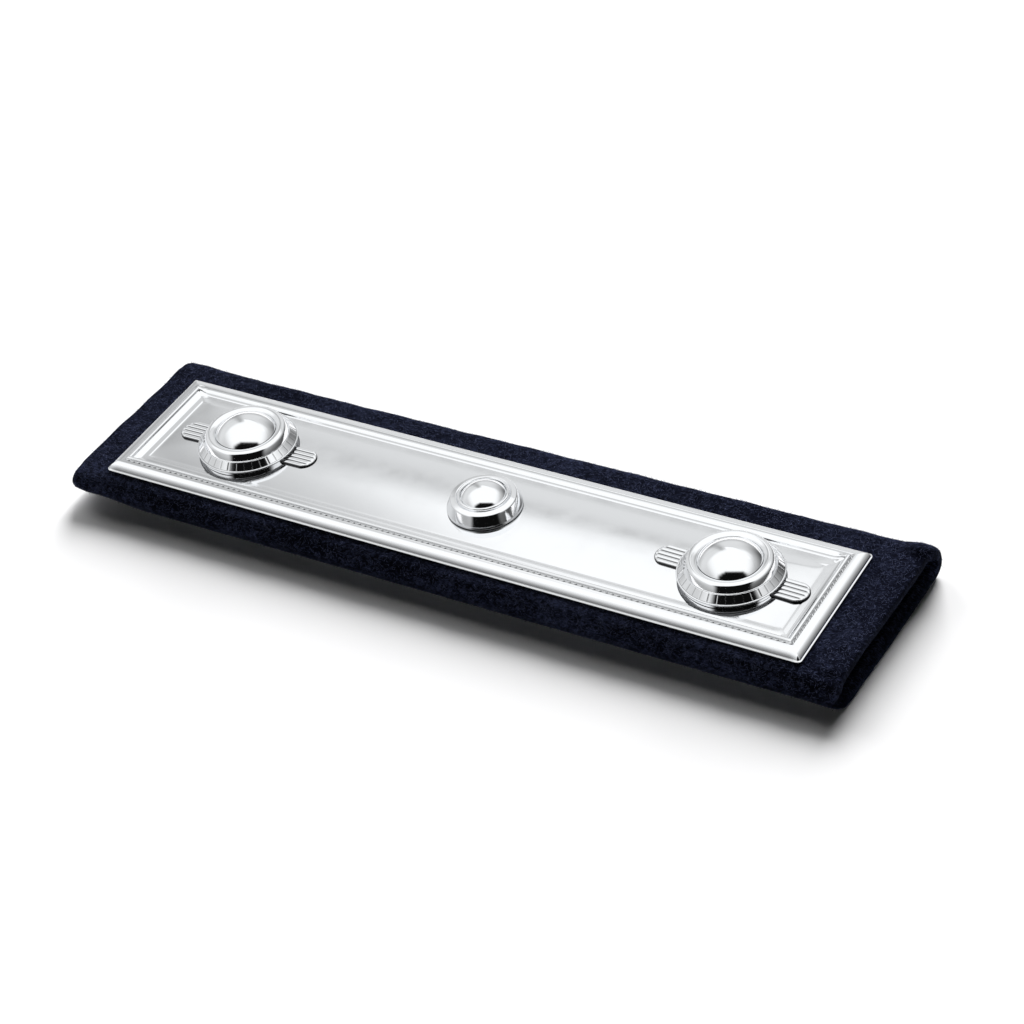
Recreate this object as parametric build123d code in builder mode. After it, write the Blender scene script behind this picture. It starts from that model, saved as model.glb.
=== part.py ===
from build123d import *
import os
from math import cos, radians, sin, tan

# Shoulder board, in millimetres: a flattened felt sleeve that slips over a shoulder strap, with a
# silver plate and three silver bosses pinned through its upper layer. X runs along the board to
# the mouth that the photograph shows, Y to the back and Z up, from the middle of the underside.

# Plate
plate_length = 118.0
plate_width = 24.5
plate_thickness = 0.8  # at the mirror field
plate_corner_radius = 1.2
edge_height = 0.35  # upright edge under the bevel
rim_height = 1.3  # top of the bevel above the felt
bevel_width = 2.0
groove_width = 0.4
groove_depth = 0.15
bead_width = 0.65
bead_rise = 0.25
cove_width = 1.05
field_overlap = 0.5  # how far the border reaches into the field that it is one piece with

# Felt sleeve
left_margin = 4.6  # felt that shows beside the plate
right_margin = 7.3
front_margin = 3.0
back_margin = 5.6
felt_wall = 1.4
slot_height = 1.8  # room for the strap between the two layers
fold_slope = 1.6  # how far a raised or flattened fold runs into the flat top
mouth_setback = 0.75  # the upper layer ends this far short of the lower one
left_corner_radius = 2.0
mouth_corner_radius = 1.2

# Studs that hold bosses, plate and felt together
stud_radius = 1.0
stud_head_radius = 3.0
stud_head_height = 0.5
stud_depth = 1.2  # how far a stud reaches into the boss above the field
hole_clearance = 0.1

# Eared washer under each large boss
ear_reach = 12.2
ear_width = 4.15
ear_base = 0.25
rib_rise = 0.15
rib_count = 5

# Large bosses
foot_radius = 7.5
rim_radius = 7.85
flare_height = 0.35
rim_edge = 0.1
band_height = 1.1
band_top_radius = 6.7
flute_count = 36
flute_radius = 0.16
ring_radius = 6.6
ring_crest_radius = 5.6
ring_height = 1.25
ring_side_height = 0.25
ring_lip_cover = 0.55  # lip above the dome's flange
dome_radius = 4.65
dome_angle = 50.0  # between the dome's edge and its top, seen from its centre

# Middle boss
collar_foot_radius = 4.7
collar_radius = 5.7
collar_widest = 0.7  # height of the widest circle above the field
collar_height = 1.8
collar_top_radius = 4.2
lip_radius = 3.95
lip_cover = 0.2
small_dome_radius = 3.4
small_dome_angle = 55.0

# Domes are trapped under the ring or lip by a flange
flange_width = 0.3
flange_height = 0.3
dome_gap = 0.08

# Where the bosses stand, from the plate's middle
# name, along (share of the plate's length), across (share of its width)
boss_rows = (
    ("left", -0.344, 0.019),
    ("middle", 0.014, 0.038),
    ("right", 0.359, 0.022),
)

# How far the ears of each large boss are turned
# name, turn (degrees)
ear_rows = (
    ("left", 1.0),
    ("right", -1.5),
)

# The sleeve's cross-sections, joined by straight walls
# along (share of the sleeve's length), front fold, back fold (heights, shares of the flat height),
# lift of the upper layer (share of the slot's height)
section_shares = (
    (0.000, 0.93, 0.93, 0.00),
    (0.025, 1.00, 1.00, 0.00),
    (0.945, 1.00, 1.00, 0.00),
    (0.970, 0.95, 1.08, 0.06),
    (0.985, 0.93, 1.12, 0.10),
    (1.000, 1.05, 1.07, 0.14),
)

sleeve_length = plate_length + left_margin + right_margin
sleeve_width = plate_width + front_margin + back_margin
flat_height = 2 * felt_wall + slot_height
plate_x = (left_margin - right_margin) / 2
plate_y = (front_margin - back_margin) / 2
border_width = bevel_width + groove_width + bead_width + cove_width
field_height = flat_height + plate_thickness
ear_height = ear_base + rib_rise
skirt_height = flare_height + rim_edge + band_height
shelf_height = ear_height + skirt_height  # of the large bosses, above the field
boss_centres = {
    name: Vector(plate_x + along * plate_length, plate_y + across * plate_width, field_height)
    for name, along, across in boss_rows
}

os.makedirs("parts", exist_ok=True)


def save(piece, name):
    piece.part.label = name
    export_step(piece.part, f"parts/{name}.step")


def axis_plane(centre):
    # upright plane through a boss's axis: radius to the right, height above the field upwards
    return Plane(origin=centre, x_dir=(1, 0, 0), z_dir=(0, -1, 0))


def axis_of(centre):
    return Axis(centre, (0, 0, 1))


def sleeve_section(along, front_share, back_share, lift_share, inset):
    # flattened tube seen along X; inset is 0 for the outside and the wall for the inside
    front_radius = front_share * flat_height / 2
    back_radius = back_share * flat_height / 2
    front_y = front_radius - sleeve_width / 2
    back_y = sleeve_width / 2 - back_radius
    top = flat_height + lift_share * slot_height - inset
    with BuildSketch(Plane.YZ.offset((along - 0.5) * sleeve_length)) as section:
        with BuildLine():
            Line((back_y, inset), (front_y, inset))
            ThreePointArc(
                (front_y, inset),
                (inset - sleeve_width / 2, front_radius),
                (front_y, 2 * front_radius - inset),
            )
            Polyline(
                (front_y, 2 * front_radius - inset),
                (front_y + fold_slope, top),
                (back_y - fold_slope, top),
                (back_y, 2 * back_radius - inset),
            )
            ThreePointArc(
                (back_y, 2 * back_radius - inset),
                (sleeve_width / 2 - inset, back_radius),
                (back_y, inset),
            )
        make_face()
    return section.sketch


# Sleeve: outside and slot are lofted from row to row, then the mouth and corners are cut
with BuildPart() as sleeve:
    for inset, mode in ((0, Mode.ADD), (felt_wall, Mode.SUBTRACT)):
        for start_row, end_row in zip(section_shares, section_shares[1:]):
            loft(
                [sleeve_section(*start_row, inset), sleeve_section(*end_row, inset)],
                ruled=True,
                mode=mode,
            )
    with BuildSketch(Plane.XZ) as mouth_cut:
        with BuildLine():
            Polyline(
                (sleeve_length / 2, felt_wall),
                (sleeve_length / 2 - mouth_setback, felt_wall + slot_height),
                (sleeve_length / 2 - mouth_setback, 2 * flat_height),
                (sleeve_length, 2 * flat_height),
                (sleeve_length, felt_wall),
                close=True,
            )
        make_face()
    extrude(amount=sleeve_width, both=True, mode=Mode.SUBTRACT)
    with BuildSketch() as outline:
        Rectangle(sleeve_length, sleeve_width)
        fillet(outline.vertices().filter_by(lambda v: v.X < 0), left_corner_radius)
        fillet(outline.vertices().sort_by(Axis.X)[-2:], mouth_corner_radius)
    extrude(amount=2 * flat_height, mode=Mode.INTERSECT)
    with Locations([(centre.X, centre.Y, flat_height) for centre in boss_centres.values()]):
        Hole(stud_radius + hole_clearance, felt_wall + slot_height / 2)
save(sleeve, "sleeve")


# Plate: the border's profile goes round a rectangle with mitred corners, and the field fills it
with BuildPart() as plate:
    front_y = plate_y - plate_width / 2
    back_y = plate_y + plate_width / 2
    left_x = plate_x - plate_length / 2
    right_x = plate_x + plate_length / 2
    with BuildLine(Plane.XY.offset(flat_height)) as border_path:
        Polyline(
            (plate_x, front_y),
            (right_x, front_y),
            (right_x, back_y),
            (left_x, back_y),
            (left_x, front_y),
            (plate_x, front_y),
        )
    border_plane = Plane(origin=(plate_x, front_y, flat_height), x_dir=(0, 1, 0), z_dir=(1, 0, 0))
    with BuildSketch(border_plane) as border_profile:
        groove_start = bevel_width
        bead_start = groove_start + groove_width
        cove_start = bead_start + bead_width
        with BuildLine():
            TangentArc((bevel_width, rim_height), (0, edge_height), tangent=(-1, 0))
            Polyline(
                (bevel_width, rim_height),
                (groove_start + groove_width / 2, rim_height - groove_depth),
                (bead_start, rim_height),
            )
            ThreePointArc(
                (bead_start, rim_height),
                (bead_start + bead_width / 2, rim_height + bead_rise),
                (cove_start, rim_height),
            )
            Line((cove_start, rim_height), (cove_start, rim_height - groove_depth))
            TangentArc(
                (border_width, plate_thickness),
                (cove_start, rim_height - groove_depth),
                tangent=(-1, 0),
            )
            Polyline(
                (border_width, plate_thickness),
                (border_width + field_overlap, plate_thickness),
                (border_width + field_overlap, 0),
                (0, 0),
                (0, edge_height),
            )
        make_face()
    sweep(path=border_path.line, transition=Transition.RIGHT)
    with BuildSketch(Plane.XY.offset(flat_height)) as field:
        with Locations((plate_x, plate_y)):
            Rectangle(plate_length - 2 * border_width, plate_width - 2 * border_width)
    extrude(amount=plate_thickness)
    with BuildSketch(Plane.XY.offset(flat_height)) as plate_outline:
        with Locations((plate_x, plate_y)):
            RectangleRounded(plate_length, plate_width, plate_corner_radius)
    extrude(amount=rim_height + bead_rise, mode=Mode.INTERSECT)
    with Locations([(centre.X, centre.Y, field_height) for centre in boss_centres.values()]):
        Hole(stud_radius + hole_clearance, plate_thickness)
save(plate, "plate")


for name, centre in boss_centres.items():
    with BuildPart() as stud:
        with BuildSketch(Plane.XY.offset(flat_height - felt_wall)) as head:
            with Locations((centre.X, centre.Y)):
                Circle(stud_head_radius)
        extrude(amount=-stud_head_height)
        with BuildSketch(Plane.XY.offset(flat_height - felt_wall)) as shank:
            with Locations((centre.X, centre.Y)):
                Circle(stud_radius)
        extrude(amount=felt_wall + plate_thickness + stud_depth)
    save(stud, f"stud_{name}")


def make_dome(centre, seat, radius, angle, edge):
    # a ball's cap on a short flange; seat is the height that it stands on, edge its rim's height
    with BuildPart() as dome:
        with BuildSketch(axis_plane(centre)):
            with BuildLine():
                TangentArc(
                    (0, edge + radius * tan(radians(angle / 2))),
                    (radius, edge),
                    tangent=(1, 0),
                )
                Polyline(
                    (radius, edge),
                    (radius, seat + flange_height),
                    (radius + flange_width, seat + flange_height),
                    (radius + flange_width, seat),
                    (0, seat),
                    (0, edge + radius * tan(radians(angle / 2))),
                )
            make_face()
        revolve(axis=axis_of(centre))
    return dome


for name, ear_turn in ear_rows:
    centre = boss_centres[name]
    along_ears = Vector(cos(radians(ear_turn)), sin(radians(ear_turn)), 0)
    ear_plan = Plane(origin=centre, x_dir=along_ears, z_dir=(0, 0, 1))
    rib_width = ear_width / rib_count

    # Eared washer: a bar with rounded ends and ribs along it, round the foot's own disc
    with BuildPart() as ears:
        with BuildSketch(Plane(origin=centre, x_dir=ear_plan.y_dir, z_dir=ear_plan.x_dir)):
            with BuildLine():
                for number in range(rib_count):
                    rib_start = number * rib_width - ear_width / 2
                    ThreePointArc(
                        (rib_start, ear_base),
                        (rib_start + rib_width / 2, ear_height),
                        (rib_start + rib_width, ear_base),
                    )
                Polyline(
                    (ear_width / 2, ear_base),
                    (ear_width / 2, 0),
                    (-ear_width / 2, 0),
                    (-ear_width / 2, ear_base),
                )
            make_face()
        extrude(amount=ear_reach, both=True)
        with BuildSketch(ear_plan):
            SlotOverall(2 * ear_reach, ear_width)
        extrude(amount=ear_height, mode=Mode.INTERSECT)
        with BuildSketch(ear_plan):
            Circle(foot_radius)
        extrude(amount=ear_height)
        with Locations(ear_plan.offset(ear_height)):
            Hole(stud_radius + hole_clearance, ear_height)
    save(ears, f"ears_{name}")

    # Skirt: a flared foot with a fluted band above its rim and a blind hole for the stud
    with BuildPart() as skirt:
        rim_low = ear_height + flare_height
        band_start = rim_low + rim_edge
        with BuildSketch(axis_plane(centre)):
            with BuildLine():
                TangentArc((rim_radius, rim_low), (foot_radius, ear_height), tangent=(0, -1))
                Polyline(
                    (rim_radius, rim_low),
                    (rim_radius, band_start),
                    (band_top_radius, shelf_height),
                    (0, shelf_height),
                    (0, ear_height),
                    (foot_radius, ear_height),
                )
            make_face()
        revolve(axis=axis_of(centre))
        band_slope = Vector(band_top_radius - rim_radius, 0, band_height)
        flute_axis = Plane(origin=(rim_radius, 0, band_start), z_dir=band_slope)
        flute = flute_axis * Cylinder(
            flute_radius,
            band_slope.length,
            align=(Align.CENTER, Align.CENTER, Align.MIN),
            mode=Mode.PRIVATE,
        )
        with Locations(centre):
            with PolarLocations(0, flute_count):
                add(flute, mode=Mode.SUBTRACT)
        with BuildSketch(Plane(origin=centre).offset(ear_height)):
            Circle(stud_radius + dome_gap)
        extrude(amount=stud_depth - ear_height + dome_gap, mode=Mode.SUBTRACT)
    save(skirt, f"skirt_{name}")

    # Ring: rounded outside, with a lip inside that holds the dome's flange
    with BuildPart() as ring:
        crest = shelf_height + ring_height
        flange_top = shelf_height + flange_height + dome_gap
        lip = flange_top + ring_lip_cover
        with BuildSketch(axis_plane(centre)):
            with BuildLine():
                TangentArc(
                    (ring_crest_radius, crest),
                    (ring_radius, shelf_height + ring_side_height),
                    tangent=(1, 0),
                )
                TangentArc(
                    (ring_crest_radius, crest),
                    (dome_radius + dome_gap, lip),
                    tangent=(-1, 0),
                )
                Polyline(
                    (dome_radius + dome_gap, lip),
                    (dome_radius + dome_gap, flange_top),
                    (dome_radius + flange_width + dome_gap, flange_top),
                    (dome_radius + flange_width + dome_gap, shelf_height),
                    (ring_radius, shelf_height),
                    (ring_radius, shelf_height + ring_side_height),
                )
            make_face()
        revolve(axis=axis_of(centre))
    save(ring, f"ring_{name}")

    dome = make_dome(centre, shelf_height, dome_radius, dome_angle, lip)
    save(dome, f"dome_{name}")


# Middle boss: a rounded collar, a thin lip and a dome
centre = boss_centres["middle"]
with BuildPart() as collar:
    with BuildSketch(axis_plane(centre)):
        with BuildLine():
            TangentArc((collar_foot_radius, 0), (collar_radius, collar_widest), tangent=(1, 0))
            TangentArc(
                (collar_top_radius, collar_height),
                (collar_radius, collar_widest),
                tangent=(1, 0),
            )
            Polyline(
                (collar_top_radius, collar_height),
                (0, collar_height),
                (0, 0),
                (collar_foot_radius, 0),
            )
        make_face()
    revolve(axis=axis_of(centre))
    with BuildSketch(Plane(origin=centre)):
        Circle(stud_radius + dome_gap)
    extrude(amount=stud_depth + dome_gap, mode=Mode.SUBTRACT)
save(collar, "collar_middle")

with BuildPart() as lip_ring:
    lip_middle = (lip_radius + small_dome_radius + dome_gap) / 2
    lip_half = (lip_radius - small_dome_radius - dome_gap) / 2
    flange_top = collar_height + flange_height + dome_gap
    small_lip = flange_top + lip_cover
    with BuildSketch(axis_plane(centre)):
        with BuildLine():
            ThreePointArc(
                (lip_radius, small_lip),
                (lip_middle, small_lip + lip_half),
                (small_dome_radius + dome_gap, small_lip),
            )
            Polyline(
                (small_dome_radius + dome_gap, small_lip),
                (small_dome_radius + dome_gap, flange_top),
                (small_dome_radius + flange_width + dome_gap, flange_top),
                (small_dome_radius + flange_width + dome_gap, collar_height),
                (lip_radius, collar_height),
                (lip_radius, small_lip),
            )
        make_face()
    revolve(axis=axis_of(centre))
save(lip_ring, "lip_middle")

small_dome = make_dome(centre, collar_height, small_dome_radius, small_dome_angle, small_lip)
save(small_dome, "dome_middle")
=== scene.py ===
from math import cos, pi, radians, sin, tan

import bpy
import numpy as np
from mathutils import Matrix, Vector


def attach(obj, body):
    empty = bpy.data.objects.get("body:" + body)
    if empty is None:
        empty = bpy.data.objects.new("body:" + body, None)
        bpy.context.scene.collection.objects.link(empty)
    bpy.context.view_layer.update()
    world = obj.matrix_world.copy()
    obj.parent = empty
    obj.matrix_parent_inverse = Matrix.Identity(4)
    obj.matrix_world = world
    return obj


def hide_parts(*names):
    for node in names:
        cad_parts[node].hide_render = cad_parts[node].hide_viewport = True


# Lengths are in millimetres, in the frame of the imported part: X along the board, Y to its back, Z up
mm = 0.001
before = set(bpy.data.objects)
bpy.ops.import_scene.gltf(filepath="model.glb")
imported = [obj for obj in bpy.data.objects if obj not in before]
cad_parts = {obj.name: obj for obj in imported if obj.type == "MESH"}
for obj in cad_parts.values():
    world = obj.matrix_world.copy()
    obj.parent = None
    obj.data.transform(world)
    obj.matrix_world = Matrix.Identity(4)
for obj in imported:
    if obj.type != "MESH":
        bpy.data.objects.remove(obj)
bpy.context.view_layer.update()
print("frame loaded:", len(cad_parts), "nodes")


cameraSettings = {
    "aim": (-1.35, -1.30, 0.0),
    "azimuth": 35.27,  # degrees round the object, 0 looks along +Y
    "elevation": 38.76,
    "roll": -8.93,
    "distance": 420.8,
    "right": 5.17,  # the camera stands this far to its own right and up, for the framing
    "up": 3.47,
    "lens": 99.35,
    "sensor": 36.0,
}


def newObject(name, data):
    # an object with this data, put in the scene
    made = bpy.data.objects.new(name, data)
    bpy.context.scene.collection.objects.link(made)
    return made


def directionTo(azimuth, elevation):
    # unit vector away from the object; an azimuth of 0 is its front, -Y
    return Vector((sin(azimuth) * cos(elevation), -cos(azimuth) * cos(elevation), sin(elevation)))


def cameraAxes(s):
    # the camera's own right and up, and the direction from the object back to it
    azimuth, elevation, roll = (radians(s[key]) for key in ("azimuth", "elevation", "roll"))
    back = directionTo(azimuth, elevation)
    level = Vector((cos(azimuth), sin(azimuth), 0.0))
    above = back.cross(level)
    return level * cos(roll) + above * sin(roll), above * cos(roll) - level * sin(roll), back


def placeCamera(s):
    right, up, back = cameraAxes(s)
    place = Vector(s["aim"]) + back * s["distance"] + right * s["right"] + up * s["up"]
    data = bpy.data.cameras.new("camera")
    data.lens, data.sensor_width = s["lens"], s["sensor"]
    data.clip_start, data.clip_end = 0.01, 50.0
    camera = newObject("camera", data)
    camera.matrix_world = Matrix.Translation(place * mm) @ Matrix((right, up, back)).transposed().to_4x4()
    bpy.context.scene.camera = camera


placeCamera(cameraSettings)

floorSettings = {"side": 6000.0, "colour": (0.86, 0.86, 0.865, 1.0), "roughness": 0.9}

lightSettings = {
    # towards the light: azimuth and elevation in degrees; then the sun's strength and spread
    "key": {"azimuth": 196.0, "elevation": 23.5, "strength": 8.3, "spread": 31.0},
    "side": {"azimuth": 238.0, "elevation": 20.0, "strength": 2.3, "spread": 36.0},
    "fill": {"azimuth": 24.0, "elevation": 6.0, "strength": 0.62, "spread": 18.0},
}

studioSettings = {
    "walls": 0.79,
    "white": 1.10,
    "tint": (0.988, 1.006),  # of its red and its blue against its green
    # white softbox overhead, lying across the view: how far it reaches to the sides, to the back and
    # to the front, each in shares of its height, from full light to none
    "overhead": ((0.70, 1.75), (0.70, 1.10), (0.50, 0.95)),
    "overheadLow": (0.05, 0.20),  # sine of the elevation over which it comes in
    "panelHalf": (41.5, 36.5),  # white panel behind the board: half width in degrees either side of +Y
    "panelLow": (43.2, 45.6),  # its lower edge, as the angle over the back
    "gap": (43.0, 0.48, 0.30),  # darker gap under the panel: angle over the back, width, depth
    "strip": (-48.5, 4.4, 0.42),  # soft dark strip at the left: azimuth from +Y, width, depth
    # walls low down: share of their light that is left there, the elevation's sine over which this
    # ends, and the part of the direction along X or Y over which that side begins or ends
    "lowRight": (0.10, (0.0, 0.75), (-0.3, 0.3)),
    "lowLeft": (0.65, (0.0, 0.30), (-0.3, 0.3)),
    "lowFront": (0.80, (0.3, 0.85), (-0.6, 0.0)),
    # black cards beside the camera, each over the one before, by where a ball mirrors them, in shares
    # of its radius: left, right, bottom, top, softness
    "cards": (
        (-0.215, 0.240, -0.80, 0.190, 0.035),
        (-0.285, 0.285, -0.80, 0.158, 0.045),
        (-0.355, 0.335, -0.80, 0.115, 0.055),
    ),
    "cardLight": 0.004,
    "offZero": 0.02,  # keeps a divisor or a root off zero
}


def addSun(name, s):
    towards = directionTo(radians(s["azimuth"]), radians(s["elevation"]))
    data = bpy.data.lights.new(name, "SUN")
    data.energy, data.angle = s["strength"], radians(s["spread"])
    sun = newObject(name, data)
    sun.rotation_euler = towards.to_track_quat("Z", "Y").to_euler()
    sun.visible_glossy = False  # the metal mirrors the studio, not the sun's disc


def nodeMaker(tree):
    # returns a function that adds a node, sets its properties and fills or links its inputs
    def add(kind, inputs=(), **properties):
        node = tree.nodes.new("ShaderNode" + kind)
        for key, value in properties.items():
            setattr(node, key, value)
        for key, value in dict(inputs).items():
            if isinstance(value, bpy.types.NodeSocket):
                tree.links.new(value, node.inputs[key])
            else:
                node.inputs[key].default_value = value
        return node
    return add


def mathMaker(add):
    # returns two functions that add a math node and give its result: of any operation, and a product
    def math(operation, *values):
        return add("Math", enumerate(values), operation=operation).outputs[0]

    def times(first, second):
        return math("MULTIPLY", first, second)

    return math, times


def makeStudio(s):
    # brightness by direction: grey walls, darker low down, with a darker gap under the panel and a soft
    # dark strip at the left, each a bell curve of the angle. Over them lie a white softbox overhead and
    # a white panel behind, and over those the black cards beside the camera
    world = bpy.data.worlds.new("studio")
    world.use_nodes = True
    tree = world.node_tree
    tree.nodes.clear()
    add = nodeMaker(tree)
    math, times = mathMaker(add)

    def ramp(value, start, end):
        inputs = {"Value": value, "From Min": start, "From Max": end}
        return add("MapRange", inputs, interpolation_type="SMOOTHSTEP").outputs[0]

    def fade(value, start, end):
        return math("SUBTRACT", 1.0, ramp(value, start, end))

    def between(value, start, end, soft):
        # one between the two edges, each of which fades over its softness to both sides
        return times(ramp(value, start - soft, start + soft), fade(value, end - soft, end + soft))

    def bell(value, middle, width):
        # e to the power of minus half the square of the widths from the middle
        off = math("DIVIDE", math("SUBTRACT", value, middle), width)
        return math("EXPONENT", times(times(off, off), -0.5))

    def darken(light, share, depth):
        return times(light, math("SUBTRACT", 1.0, times(share, depth)))

    def blend(light, share, other):
        return math("ADD", light, times(share, math("SUBTRACT", other, light)))

    direction = add("TexCoord").outputs["Generated"]
    x, y, z = add("SeparateXYZ", {0: direction}).outputs
    overBack = times(math("ARCTAN2", z, y), 180 / pi)
    sideways = times(math("ARCTAN2", x, y), 180 / pi)
    panelWide, panelNarrow = s["panelHalf"]
    panel = fade(math("ABSOLUTE", sideways), panelNarrow, panelWide)
    panel = times(panel, ramp(overBack, *s["panelLow"]))
    right, up, back = cameraAxes(cameraSettings)

    def along(axis):
        inputs = {0: direction, 1: tuple(axis)}
        return add("VectorMath", inputs, operation="DOT_PRODUCT").outputs["Value"]

    # the softbox's own plane: how far a direction goes to the side and to the back per unit of height
    azimuth = radians(cameraSettings["azimuth"])
    high = math("MAXIMUM", z, s["offZero"])
    toSide = math("DIVIDE", along((cos(azimuth), sin(azimuth), 0)), high)
    toBack = math("DIVIDE", along((-sin(azimuth), cos(azimuth), 0)), high)
    sideReach, backReach, frontReach = s["overhead"]
    overhead = times(fade(math("ABSOLUTE", toSide), *sideReach), fade(toBack, *backReach))
    overhead = times(overhead, fade(times(toBack, -1.0), *frontReach))
    white = math("MAXIMUM", panel, times(overhead, ramp(z, *s["overheadLow"])))

    light = s["walls"]
    for name, axis, edge in (("lowRight", x, ramp), ("lowLeft", x, fade), ("lowFront", y, fade)):
        left, heights, reach = s[name]
        light = darken(light, times(fade(z, *heights), edge(axis, *reach)), 1 - left)
    for name, angle in (("gap", overBack), ("strip", sideways)):
        middle, width, depth = s[name]
        light = darken(light, bell(angle, middle, width), depth)
    light = blend(light, white, s["white"])

    # a ball mirrors a direction where its surface faces halfway between that direction and the camera
    spread = math("SQRT", math("ADD", times(along(back), 2.0), 2.0 + s["offZero"]))
    acrossBall, upBall = math("DIVIDE", along(right), spread), math("DIVIDE", along(up), spread)
    for left, end, bottom, top, soft in s["cards"]:
        card = times(between(acrossBall, left, end, soft), between(upBall, bottom, top, soft))
        light = blend(light, card, s["cardLight"])

    red, blue = s["tint"]
    tinted = {0: times(light, red), 1: light, 2: times(light, blue)}
    colour = add("CombineColor", tinted)
    background = add("Background", {"Color": colour.outputs[0], "Strength": 1.0})
    output = add("OutputWorld")
    tree.links.new(background.outputs[0], output.inputs["Surface"])
    bpy.context.scene.world = world
    world.cycles_visibility.diffuse = False  # it shows in the metal alone; the suns light the rest


for name, sun in lightSettings.items():
    addSun(name, sun)
makeStudio(studioSettings)
bpy.context.scene.view_settings.view_transform = "Standard"


def newMaterial(name):
    # a material, its shader, and the function that adds nodes to it
    material = bpy.data.materials.new(name)
    material.use_nodes = True
    shader = material.node_tree.nodes["Principled BSDF"]
    return material, shader, nodeMaker(material.node_tree)


def makeFloor(s):
    half = s["side"] / 2 * mm
    mesh = bpy.data.meshes.new("floor")
    corners = [(-half, -half, 0), (half, -half, 0), (half, half, 0), (-half, half, 0)]
    mesh.from_pydata(corners, [], [(0, 1, 2, 3)])
    material, shader, add = newMaterial("floor_paper")
    shader.inputs["Base Color"].default_value = s["colour"]
    shader.inputs["Roughness"].default_value = s["roughness"]
    shader.inputs["Specular IOR Level"].default_value = 0.0
    mesh.materials.append(material)
    floor = newObject("floor", mesh)


makeFloor(floorSettings)
print("studio ready")


silverSettings = {
    "colour": (0.93, 0.938, 0.95, 1.0),
    "smearColour": (0.90, 0.908, 0.922, 1.0),
    "roughness": (0.045, 0.12),
    "smear": 260.0,  # noise scale per metre, soft cloudy smears
    "grain": 9000.0,
    "bump": 0.00002,
    "tarnishAndShadeColour": (0.020, 0.020, 0.022, 1.0),  # tarnish, and painted shade and reflection, in deep lines, along edges and on the front border
    "recessRoughness": 0.45,
}

feltSettings = {
    "dark": (0.0010, 0.0013, 0.0042, 1.0),
    "light": (0.0300, 0.0365, 0.0740, 1.0),
    # two sets of streaks: turn in degrees, noise scales along, across and through
    "fibres": ((28.0, (1500.0, 6000.0, 3000.0)), (-50.0, (1500.0, 6400.0, 3000.0))),
    "bend": (900.0, 0.0007),  # noise scale of the streaks' bends, and their reach in metres
    "clump": 900.0,
    "cloud": 60.0,
    "fibreShare": 0.65,  # of the pile; clumps are the rest
    "cloudShare": 0.25,
    "range": (0.505, 0.690),  # of the pile's value, from dark to light
    "paintedShade": 0.50,  # painted shade: the top and the back fold are this much darker than the front fold and the cut edges
    "bump": 0.00030,
    "roughness": 0.95,
    "specular": 0.02,
    "sheen": 0.03,
    "sheenRoughness": 0.5,
    "sheenTint": (0.55, 0.62, 0.9, 1.0),
}

studMetalSettings = {
    "dark": (0.46, 0.34, 0.16, 1.0),
    "light": (0.62, 0.50, 0.28, 1.0),
    "mottle": (900.0, 3.0),  # noise scale and detail
    "roughness": 0.38,
}

fibreWoolSettings = {
    "dark": (0.004, 0.005, 0.012, 1.0),
    "light": (0.085, 0.100, 0.180, 1.0),
    "mottle": (2600.0, 1.0),
    "roughness": 0.8,
    "specular": 0.15,
}


def makeSilver(s):
    # polished plate: faint smears in colour and gloss, a very fine grain, and, where the mesh's own
    # value says, darkening that is partly tarnish and partly painted shade and reflection
    material, shader, add = newMaterial("polished_silver")
    place = add("TexCoord").outputs["Object"]
    smear = add("TexNoise", {"Vector": place, "Scale": s["smear"], "Detail": 4.0, "Roughness": 0.6})
    grain = add("TexNoise", {"Vector": place, "Scale": s["grain"], "Detail": 2.0})
    colour = add("Mix", {
        "Factor": smear.outputs[0], 6: s["smearColour"], 7: s["colour"],
    }, data_type="RGBA")
    gloss = add("MapRange", {
        "Value": smear.outputs[0], "From Min": 0.35, "From Max": 0.75,
        "To Min": s["roughness"][0], "To Max": s["roughness"][1],
    })
    # painted shade and reflection, partly tarnish: darker colour where the mesh's own value says
    tarnishAndShade = add("Attribute", attribute_name="tarnishAndShade").outputs["Fac"]
    colour = add("Mix", {
        "Factor": tarnishAndShade, 6: colour.outputs[2], 7: s["tarnishAndShadeColour"],
    }, data_type="RGBA")
    gloss = add("MapRange", {
        "Value": tarnishAndShade, "To Min": gloss.outputs[0], "To Max": s["recessRoughness"],
    })
    bump = add("Bump", {"Height": grain.outputs[0], "Strength": 0.06, "Distance": s["bump"]})
    shader.inputs["Metallic"].default_value = 1.0
    tree = material.node_tree
    tree.links.new(colour.outputs[2], shader.inputs["Base Color"])
    tree.links.new(gloss.outputs[0], shader.inputs["Roughness"])
    tree.links.new(bump.outputs[0], shader.inputs["Normal"])
    return material


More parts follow.
